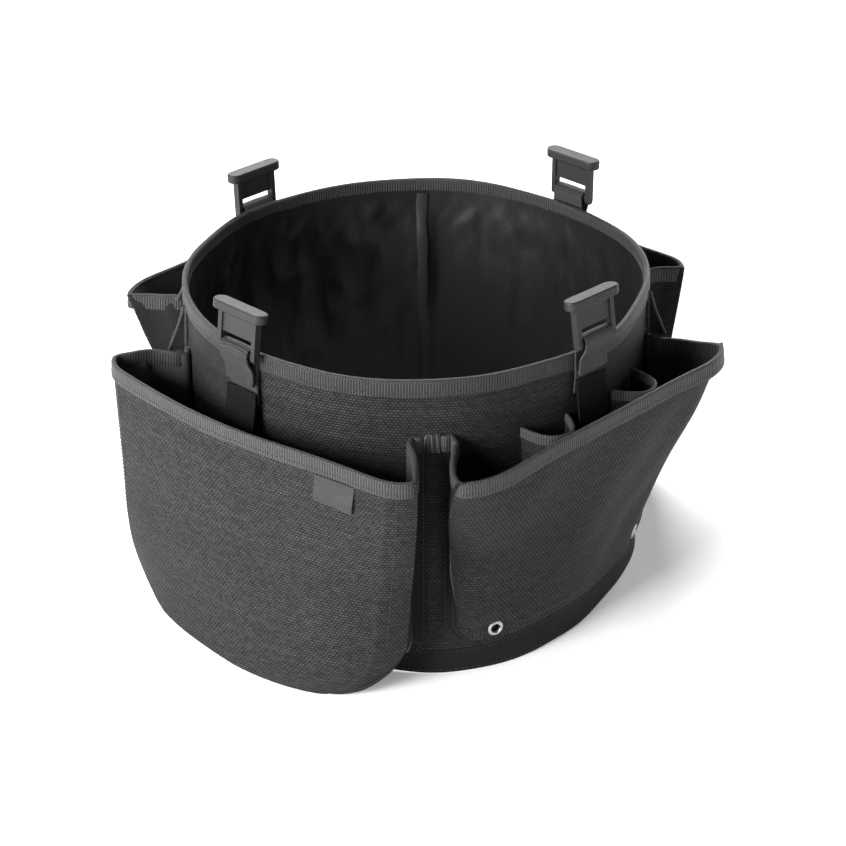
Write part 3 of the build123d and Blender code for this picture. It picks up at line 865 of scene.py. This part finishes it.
def punch(face, name):
    """Finds the drain holes: the quads to leave out, their edge drawn round, and the eyelets' spots."""
    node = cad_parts[f"{name}_drain_eyelets"]
    points = np.array([vertex.co for vertex in node.data.vertices]) / MM
    beside = turned(points, -POCKETS[name][1])[:, 1]
    normal = normals(face)
    holes = np.zeros((face.shape[0] - 1, face.shape[1] - 1), bool)
    spots = []
    for ring in (points[beside < 0], points[beside > 0]):
        middle = (ring.min(0) + ring.max(0)) / 2
        i, j = divmod(int(np.linalg.norm(face - middle, axis=2).argmin()), face.shape[1])
        centre, axis = face[i, j].copy(), unit(normal[i - 3:i + 4, j - 3:j + 4].mean((0, 1)))
        away = face - centre
        height = away @ axis
        across = away - height[..., None] * axis
        reach = np.linalg.norm(across, axis=-1)
        near = (1 - smooth((reach - 7) / 12)) * (np.abs(height) < 20)
        face = face - (near * (height + EYELET_SINK))[..., None] * axis
        centres = (reach[1:, 1:] + reach[:-1, 1:] + reach[1:, :-1] + reach[:-1, :-1]) / 4
        hole = (centres < EYELET_BORE - 0.3) & (np.abs(height[1:, 1:]) < 20)
        touched = np.zeros(reach.shape, bool)
        for di, dj in ((0, 0), (0, 1), (1, 0), (1, 1)):
            touched[di:di + hole.shape[0], dj:dj + hole.shape[1]] |= hole
        fit = np.where(touched, EYELET_BORE / np.maximum(reach, 1e-6) - 1, 0)
        face = face + across * fit[..., None]
        holes |= hole
        spots.append((centre - axis * (EYELET_SINK + CLOTH_T / 2), axis))
    return face, holes, spots


def make_eyelets(name, spots):
    """Rolled metal rings clamped through the cloth."""
    turn = np.arange(48) * math.tau / 48
    profile = np.array(EYELET_RING)
    metal_rings = Cloth()
    for centre, axis in spots:
        side = unit(np.cross(axis, (0.0, 0.0, 1.0)))
        up = np.cross(side, axis)
        around = side * np.cos(turn)[:, None] + up * np.sin(turn)[:, None]
        points = centre + around[:, None] * profile[None, :, :1] + axis * profile[None, :, 1:]
        index = metal_rings.add(points[:, :-1])
        index = np.concatenate([index, index[:, :1]], 1)
        index = np.concatenate([index, index[:1]])
        metal_rings.faces(index, np.zeros((*index.shape, 2)), flip=True)
    metal_rings.make(f"{name}_rolled_eyelets", MAT["eyelet"], replaces=[f"{name}_drain_eyelets"],
                     slot="eyelet_metal", sharp=60)


def gusset_grid(name, panel_edge, wall_line, flange_line):
    """From the seam on the sleeve, over the flange, and out to the panel's edge."""
    kind = POCKETS[name][0]
    flat = np.linspace(0, 1, 6)[None, :, None]
    out = np.linspace(0, 1, 30)[None, 1:, None]
    grid = np.concatenate([wall_line[:, None] * (1 - flat) + flange_line[:, None] * flat,
                           flange_line[:, None] * (1 - out) + panel_edge[:, None] * out], 1)
    radius = np.hypot(grid[..., 0], grid[..., 1])
    short = np.maximum(BODY_R + 0.9 - radius, 0) / radius
    grid[..., :2] *= (1 + short)[..., None]
    grid = np.moveaxis(soften(np.moveaxis(grid, 1, 0), 5), 0, 1)
    tau = np.concatenate([np.zeros(6), np.linspace(0, 1, 30)[1:]])[None]
    s = lengths(grid, 0)
    seed = SEED + 30 + list(POCKETS).index(name)
    depth = np.linalg.norm(panel_edge - flange_line, axis=1)[:, None]
    swell = np.clip(depth / 50, 0, 1) * np.sin(math.pi * tau) ** 1.2
    belly = 3.4 * np.sin(math.pi * np.clip(tau * 1.35, 0, 1))
    crease = 3.0 * np.sin(math.pi * tau) ** 2 * (tau > 0.5)
    push = swell * (belly - crease + ripples(s, tau * 55, seed, 7, 90, 30))
    if kind == "flared":
        push = push * 0.6
    normal = normals(grid)
    push = np.where(normal[..., 2] < -0.5, np.minimum(push, 0), push)
    return grid + normal * push[..., None]


def mouth_path(left, panel_top, right):
    """One line along the pocket's mouth, its corners softened, in the cloth's middle."""
    path = resample(np.concatenate([left[:-1], panel_top, right[::-1][1:]]), 0.9)
    return soften(soften(path, 13), 13)


def crumple(path, seed, reach=16.0, size=1.1):
    """The binding's gathers where it is pulled in at the sleeve."""
    run = run_along(path)
    near = np.exp(-(run / reach) ** 2) + np.exp(-((run[-1] - run) / reach) ** 2)
    return path + outward(path) * (size * near * np.sin(run * math.tau / 7.5 + seed))[:, None]


def gusset_grids(name, panel):
    """The cloth at a pocket's sides: one run round a box pocket, two wedges on a flared one."""
    kind, _, top, root_angle = POCKETS[name]
    side_flange, foot_flange = FLANGES[kind][:2]
    counts, cut = COUNTS[kind], top - 1.0
    wall_line = wall_outline(kind, cut, root_angle, 0.0, 0.0, counts)
    flange_line = wall_outline(kind, cut, root_angle, side_flange, foot_flange, counts)
    if kind == "box":
        edge = box_outline(kind, top, root_angle, counts)
        edge[:, 2] = np.minimum(edge[:, 2], cut)
        at_side = 1 - smooth((BOX_ROUND * 0.7 - edge[:, 2]) / (BOX_ROUND * 0.7))
        edge[:, 0] -= FOOT_ROLL + (SIDE_ROLLS["box"][0] - FOOT_ROLL) * at_side
        return {"gusset": gusset_grid(name, edge, wall_line, flange_line)}
    tall, grids = sum(counts[:2]), {}
    for word, side, line in (("left", slice(0, tall), panel[0]), ("right", slice(-tall, None), panel[-1])):
        inner = flange_line[side]
        rows = resample(line, 0.8)
        height = np.clip((inner[:, 2] - line[0, 2]) / (line[-1, 2] - line[0, 2]), 0, 1)
        run = np.linspace(0, 1, len(rows))
        edge = np.stack([np.interp(height, run, rows[:, k]) for k in range(3)], -1)
        grids[f"gusset_{word}"] = gusset_grid(name, edge, wall_line[side], inner)
    return grids


def mouth_tape(name, panel, grids):
    """The face of the binding over a pocket's mouth, from the sleeve round to the sleeve."""
    _, azimuth, top, _ = POCKETS[name]
    path = mouth_path(grids[0][0], panel[:, -1], grids[-1][-1])
    path = crumple(path - outward(path) * CLOTH_T / 2, 2.0 * azimuth)
    path[:, 2] = top - 0.2 + 0.5 * np.sin(np.linspace(0, 9, len(path)) + azimuth)
    return placed(name, bound_edge(path, 1.75, TAPE_H - 0.5, azimuth))


def sew_pocket(name, face, tape, gussets):
    """Every row of stitches on a pocket."""
    seam, flared = Cloth(), POCKETS[name][0] == "flared"
    for share in (0.09, 0.94):
        sew(seam, tape, share, 1, TAPE_GAUGE)
    for grid in gussets:
        for share in (0.03, 0.12) if flared else (0.03,):
            sew(seam, grid, share, 1, SEAM_GAUGE)
    if flared:
        sew(seam, face[6:-6], 0.04, 1, SEAM_GAUGE)
    else:
        for share in (0.075, 0.925):
            sew(seam, face[:, 26:-8], share, 0, SEAM_GAUGE)
    seam.make(f"{name}_stitching", MAT["thread"])


def make_pocket(name):
    kind, _, top, _ = POCKETS[name]
    panel = shaped_panel(name)
    panel[..., 2] = np.minimum(panel[..., 2], top - 1.0)
    grids = gusset_grids(name, panel)
    gussets = {word: placed(name, grid) for word, grid in grids.items()}
    for word, grid in gussets.items():
        sewn(f"{name}_{word}_cloth", grid, CLOTH_T * 0.8, "twill", [f"{name}_{word}"],
             declared=True, back=MAT["coating"])
    face, holes = placed(name, panel), None
    if kind == "flared":
        face, holes, spots = punch(face, name)
        make_eyelets(name, spots)
    sewn(f"{name}_panel_cloth", face, CLOTH_T, "panel", [f"{name}_panel"], holes=holes,
         declared=True, back=MAT["coating"])
    tape = mouth_tape(name, panel, list(grids.values()))
    sewn(f"{name}_binding_tape", tape, TAPE_T, "tape", [f"{name}_binding"], "binding_tape")
    sew_pocket(name, face, tape, gussets.values())
    return face


def make_cells(name):
    """Two narrow loops of cloth inside a flared pocket, bound along their tops."""
    azimuth = POCKETS[name][1]
    for side, word in ((-1, "left"), (1, "right")):
        seed = SEED + 60 + side
        share = np.linspace(0, 1, 50)[None]
        turn = np.linspace(-1, 1, 61)[:, None]
        reach = CELL_FOOT_R + (CELL_TOP_R - CELL_FOOT_R) * share
        lift = np.maximum(1 - np.abs(turn) ** 2.6, 0)
        radius = BODY_R + 0.8 + (reach - BODY_R - 0.8) * lift
        angle = np.radians(side * CELL_ANGLE + turn * CELL_HALF_ANGLE * (1 - 0.10 * np.sin(math.pi * share)))
        z = CELL_FOOT_Z + (CELL_TOP_Z - CELL_FOOT_Z) * share + 0 * turn
        radius = radius + 0.8 * lift * ripples(turn * 22, z, seed, 6, 70, 30)
        grid = np.stack([radius * np.cos(angle), radius * np.sin(angle), z], -1)
        grid = settle(turned(grid, azimuth))
        sewn(f"{name}_tool_cell_{word}_cloth", grid, CELL_T, "lining", [f"{name}_tool_cell_{word}"],
             declared=True)
        lip = resample(grid[:, -1], 0.9)
        tape = bound_edge(lip - outward(lip) * CELL_T / 2, 1.35, 6.5, seed)
        sewn(f"{name}_tool_cell_{word}_binding", tape, 0.6, "tape", (), "binding_tape")


def make_label(face):
    """A blank folded ribbon tab sewn in under the binding, near the right end of the panel."""
    low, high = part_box("blank_label")
    middle = (low + high) / 2 / MM
    normal = normals(face)
    gap = np.linalg.norm(face - np.array(middle), axis=2)
    i, j = divmod(int(gap.argmin()), face.shape[1])
    out = normal[i, j]
    across = face[i + 3, j] - face[i - 3, j]
    across = unit(across - out * (across @ out))
    up = np.cross(out, across)
    u = np.linspace(-12.0, 17.5, 31)[:, None]
    v = np.linspace(-11.5, 7.5, 25)[None]
    lift = 0.35 + 0.9 * smooth((4 - v) / 12) + 1.2 * smooth(u / 15) * smooth((6 - v) / 14)
    grid = face[i, j] + across * u[..., None] + up * v[..., None] + out * lift[..., None]
    Cloth().sheet(grid, 0.45).sheet(grid - out * 0.55 + up * 0.2, 0.4).make(
        "blank_label_ribbon", MAT["label"], replaces=["blank_label"], slot="label_fabric")


def make_junctions():
    """Tape over the wall where two pockets meet, drawn into soft gathers."""
    for word, azimuth, low, high in (("front", -89.3, 162.5, 176.3), ("back", 91.2, 162.5, 179.0)):
        rows = np.linspace(low, high, 16)
        turn = np.linspace(-1.5, 1.5, 15)
        strip = sleeve_points(BODY_R + 2.0, azimuth + turn, rows)
        crease = 0.5 * np.sin(turn[:, None] * 5.0 + rows[None] / 6)
        strip[..., :2] *= (1 + crease / BODY_R)[..., None]
        sewn(f"{word}_junction_binding", settle(strip), 1.6, "tape", [f"{word}_junction_tape"],
             "binding_tape")


def tube_about(cloth, path, side, out, wide, deep, count=10):
    """A slim rounded binding along a path."""
    turn = np.arange(count) * math.tau / count
    ring = (path[:, None] + side[:, None] * (wide * np.cos(turn))[:, None]
            + out[:, None] * (deep * np.sin(turn))[:, None])
    closed = np.concatenate([ring, ring[:, :1]], 1)
    uv = np.stack([lengths(closed, 0), lengths(closed, 1)], -1)
    index = cloth.add(ring)
    cloth.faces(np.concatenate([index, index[:, :1]], 1), uv, flip=True)


def make_corner_webs():
    """The small cloth triangles that carry the gussets' outer ends up to the rim, bound in tape."""
    for word, pocket, side in (("right", "front_right", 1), ("right_back", "back_right", -1),
                               ("left", "front_left", -1), ("left_back", "back_left", 1)):
        _, azimuth, top, root_angle = POCKETS[pocket]
        share = np.linspace(0, 1, 40)[:, None]
        across = np.linspace(0, 1, 14)[None]
        foot, tip = top - 2.0, SLEEVE_TOP - RIM_TAPE_H + 2.0
        z = foot + (tip - foot) * share + 0 * across
        reach = 1.5 + 10.5 * (1 - share) ** 1.25
        x = BODY_R + 0.5 + reach * across
        y = side * (0.9 * np.sin(math.pi * share) * across + 0.5 * np.sin(share * 7) * across)
        web = turned(np.stack([x, y, z], -1), azimuth + side * (root_angle - 0.4))
        web = settle(web)
        if side > 0:
            web = web[::-1]
        sewn(f"{word}_corner_web_cloth", web, 0.9, "twill", [f"{word}_corner_web"], declared=True)
        edges = Cloth()
        out = normals(web)[:, -1]
        for line in (web[:, -1], web[:, 1]):
            tangent = unit(np.gradient(line, axis=0))
            tube_about(edges, line - out * 0.45, np.cross(out, tangent), out, 1.3, 0.95)
        edges.make(f"{word}_corner_web_edges", MAT["tape"], slot="binding_tape")


# ------------------------------------------------------------------ straps

def strap_path():
    """Webbing in the x-z plane about the crossbar: up the back, over, down in front, hem."""
    r = BAR_R + 0.3 + WEB_T / 2
    turn = np.radians(np.linspace(180, 0, 19))
    back = np.stack([np.full(20, -r), np.linspace(-38, -0.5, 20)], 1)
    over = np.stack([r * np.cos(turn), r * np.sin(turn)], 1)
    front = np.array([(r, -1.0), (r - 0.5, -4.5), (r - 2.2, -8.0), (-r + WEB_T + 1.1, -11.6),
                      (-r + WEB_T + 0.3, -15), (-r + WEB_T + 0.2, -19), (-r + WEB_T + 0.6, -23.6)])
    hem_turn = np.radians(np.linspace(180, 360, 7))
    hem = np.stack([-r + WEB_T + 1.3 + 0.75 * np.cos(hem_turn), -23.8 + 0.7 * np.sin(hem_turn)], 1)
    end = np.array([(-r + WEB_T + 2.0, -22.5), (-r + WEB_T + 1.9, -20.4)])
    return soften(resample(np.concatenate([back, over, front, hem, end]), 0.5), 3)


def make_straps():
    path = strap_path()
    across = np.linspace(-1, 1, 27)[:, None]
    for name, (azimuth, pivot_z) in HOOKS.items():
        x, z = path[None, :, 0] + 0 * across, path[None, :, 1] + 0 * across
        y = across * (STRAP_W / 2 - 0.25 * np.cos(path[None, :, 1] / 4))
        crown = 0.35 * (1 - across ** 2) * smooth((path[None, :, 1] + 6) / 6)
        along = np.gradient(path, axis=0)
        out = unit(np.stack([-along[:, 1], along[:, 0]], 1))
        face = np.stack([x + out[None, :, 0] * (WEB_T / 2 + crown), y,
                         z + out[None, :, 1] * (WEB_T / 2 + crown)], -1)
        grid = turned(face + (PIVOT_X, 0, pivot_z), azimuth)
        sewn(f"{name}_webbing", grid, WEB_T, "web", [f"{name}_strap"], "webbing", body=f"{name}_strap")


def make_loop_strips():
    for name, (azimuth, pivot_z) in HOOKS.items():
        top = pivot_z + STRIP_END
        rows = np.linspace(STRIP_FOOT_Z, top, 110)
        across = np.linspace(-1, 1, 33)[:, None]
        stand = 8.0 * smooth((rows - 75) / 60) * (1 - 0.6 * smooth((rows - 150) / (top - 150)))
        x = STRIP_X + STRIP_T - 0.1 + stand[None] + 0 * across
        seed = SEED + 80 + list(HOOKS).index(name)
        fuzz = 0.18 * ripples(across * 60, rows[None] * 4.3, seed, 9, 9, 4)
        y = across * (STRIP_W / 2 + 0.25 * np.sin(rows * 1.7)) + 1.2 * np.sin(rows / 60)
        grid = np.stack([x + fuzz, y, rows[None] + 0 * across], -1)
        sewn(f"{name}_loop_tape", settle(turned(grid, azimuth)), STRIP_T, "loop",
             [f"{name}_loop_strip"], "loop_tape")


# ------------------------------------------------------------------ build

make_wall()
make_band()
make_rim()
make_liner()
faces = {name: make_pocket(name) for name in POCKETS}
for name, (kind, *_) in POCKETS.items():
    if kind == "flared":
        make_cells(name)
make_label(faces["front_left"])
make_junctions()
make_corner_webs()
make_straps()
make_loop_strips()

for node_name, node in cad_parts.items():
    if node_name.endswith("_hook"):
        node.data.materials.clear()
        node.data.materials.append(MAT["hook"])


# ------------------------------------------------------------------ room, light, camera

def make_floor():
    mesh = bpy.data.meshes.new("studio_floor")
    corners = [(x * FLOOR_HALF, y * FLOOR_HALF, 0) for x, y in ((-1, -1), (1, -1), (1, 1), (-1, 1))]
    mesh.from_pydata(corners, [], [(0, 1, 2, 3)])
    floor = Shader("studio_floor", (0.86, 0.86, 0.86), 0.9, specular=0.1)
    floor.bsdf.inputs["Emission Color"].default_value = (1, 1, 1, 1)
    length = floor.node("ShaderNodeVectorMath", operation="LENGTH")
    floor.tree.links.new(floor.node("ShaderNodeTexCoord").outputs["Object"], length.inputs[0])
    glow = floor.spread_from(length.outputs["Value"], *FLOOR_GLOW)
    floor.tree.links.new(glow, floor.bsdf.inputs["Emission Strength"])
    mesh.materials.append(floor.material)
    obj = bpy.data.objects.new("studio_floor", mesh)
    bpy.context.scene.collection.objects.link(obj)


def soft_light(name, place, size, power, target=(0, 0, 0.1)):
    light = bpy.data.lights.new(name, "AREA")
    light.shape, light.size, light.energy = "SQUARE", size, power
    obj = bpy.data.objects.new(name, light)
    obj.location = place
    obj.rotation_euler = (Vector(target) - Vector(place)).to_track_quat("-Z", "Y").to_euler()
    bpy.context.scene.collection.objects.link(obj)


def make_camera():
    azimuth, elevation = math.radians(CAMERA_AZIMUTH), math.radians(CAMERA_ELEVATION)
    back = Vector((math.sin(azimuth) * math.cos(elevation),
                   -math.cos(azimuth) * math.cos(elevation), math.sin(elevation)))
    camera = bpy.data.objects.new("camera", bpy.data.cameras.new("camera"))
    camera.location = Vector((0, 0, CAMERA_AIM_Z)) + back * CAMERA_DISTANCE
    camera.rotation_euler = (-back).to_track_quat("-Z", "Y").to_euler()
    camera.data.lens, camera.data.sensor_width = LENS, SENSOR
    camera.data.shift_x, camera.data.shift_y = SHIFT
    bpy.context.scene.collection.objects.link(camera)
    bpy.context.scene.camera = camera


def make_world():
    """A dim studio with a pale band at eye level, which the floor fades into."""
    world = bpy.data.worlds.new("studio")
    bpy.context.scene.world = world
    world.use_nodes = True
    tree = world.node_tree
    split = tree.nodes.new("ShaderNodeSeparateXYZ")
    tree.links.new(tree.nodes.new("ShaderNodeTexCoord").outputs["Generated"], split.inputs[0])
    height = tree.nodes.new("ShaderNodeMath")
    height.operation = "ABSOLUTE"
    tree.links.new(split.outputs[2], height.inputs[0])
    band = tree.nodes.new("ShaderNodeMapRange")
    for key, value in (("From Min", 0.24), ("From Max", 0.34), ("To Min", 1.0), ("To Max", 0.05)):
        band.inputs[key].default_value = value
    tree.links.new(height.outputs[0], band.inputs["Value"])
    sky = tree.nodes["Background"]
    sky.inputs["Color"].default_value = (1, 1, 1, 1)
    tree.links.new(band.outputs[0], sky.inputs["Strength"])


make_floor()
make_world()
for light_name, (spot, size, power) in LIGHTS.items():
    soft_light(light_name, spot, size, power)
make_camera()
bpy.context.scene.view_settings.view_transform = "Standard"
